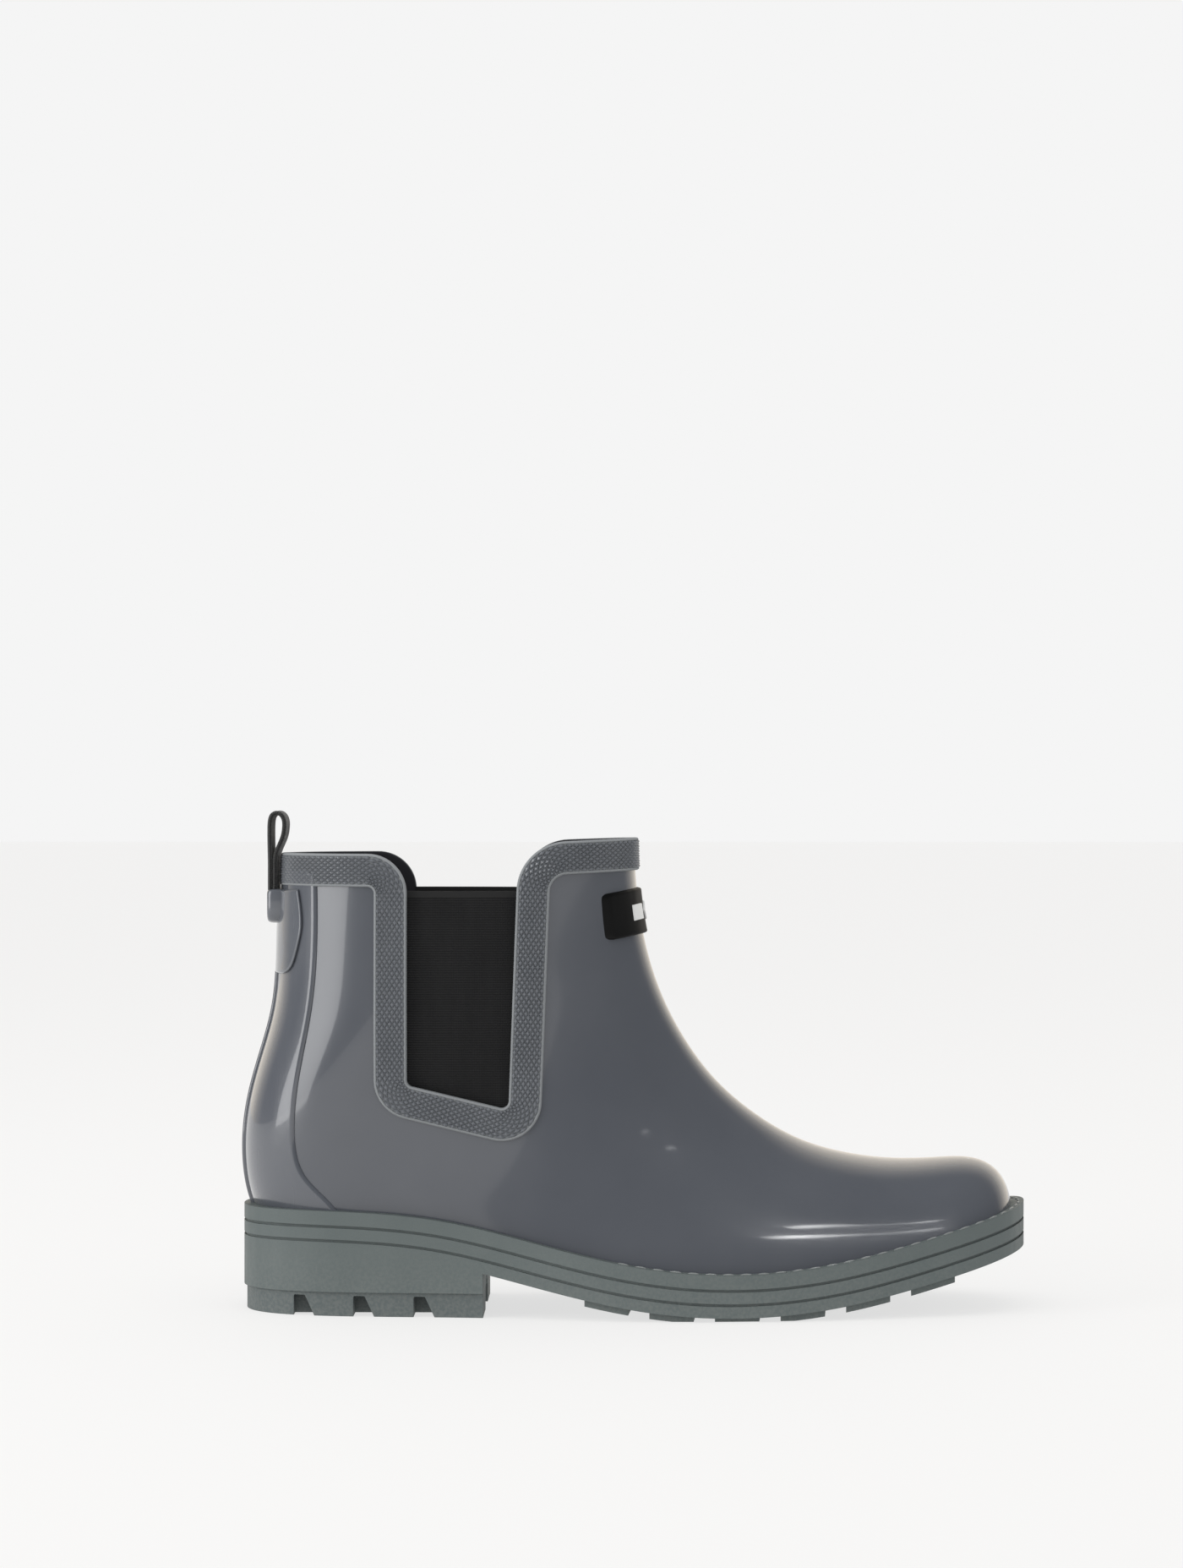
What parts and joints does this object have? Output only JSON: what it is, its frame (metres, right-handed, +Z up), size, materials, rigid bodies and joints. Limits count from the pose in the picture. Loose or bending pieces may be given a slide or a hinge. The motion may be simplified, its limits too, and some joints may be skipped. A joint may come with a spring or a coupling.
{
  "type": "ankle deck boot",
  "caption": "Low rubber pull-on deck boot for the right foot with elastic side gores, knurled collar binding, rear pull loop and lugged sole.",
  "frame": {"origin": "on the ground under the middle of the heel", "axes": "+X towards the toe, +Y towards the inner (medial) side, +Z up; a right boot"},
  "size_m": [0.2825, 0.098, 0.1783],
  "materials": {
    "upper_rubber": "gloss",
    "overlay_rubber": "gloss",
    "binding_rubber": "knurled satin",
    "patch_rubber": "gloss",
    "sole_rubber": "matte grain",
    "heel_rubber": "matte grain",
    "thread": "matte",
    "elastic": "fine rib",
    "elastic_hem": "smooth weave",
    "webbing": "twill webbing",
    "label": "satin",
    "emblem": "matte",
    "lining_textile": "knit",
    "stiffener": "matte",
    "board": "pressed fibre",
    "footbed_foam": "brushed knit over foam",
    "filler": "cork and rubber",
    "steel": "brushed"
  },
  "bodies": {
    "boot": {"upper_shell": "upper_rubber", "heel_overlay": "overlay_rubber", "back_patch": "patch_rubber", "back_seam_strip": "overlay_rubber", "loop_cover": "patch_rubber", "pull_loop_tail": "webbing", "collar_binding_lateral": "binding_rubber", "collar_binding_medial": "binding_rubber", "gore_lateral": "elastic", "gore_medial": "elastic", "gore_hem_lateral": "elastic_hem", "gore_hem_medial": "elastic_hem", "label_plate": "label", "label_emblem": "emblem", "lining": "lining_textile", "toe_puff": "stiffener", "heel_counter": "stiffener", "insole_board": "board", "footbed": "footbed_foam", "shank": "steel", "bottom_filler": "filler", "welt": "sole_rubber", "welt_stitches": "thread", "midsole": "sole_rubber", "outsole": "sole_rubber", "heel_lift": "heel_rubber"},
    "loop": {"pull_loop": "webbing"}
  },
  "joints": [
    {"name": "pull_loop_bend", "type": "hinge", "parent": "boot", "child": "loop", "pos_m": [-0.0325, 0, 0.15075], "axis": [0, -1, 0], "range_deg": [0, 85], "stiffness_Nm_per_rad": 0.01}
  ]
}
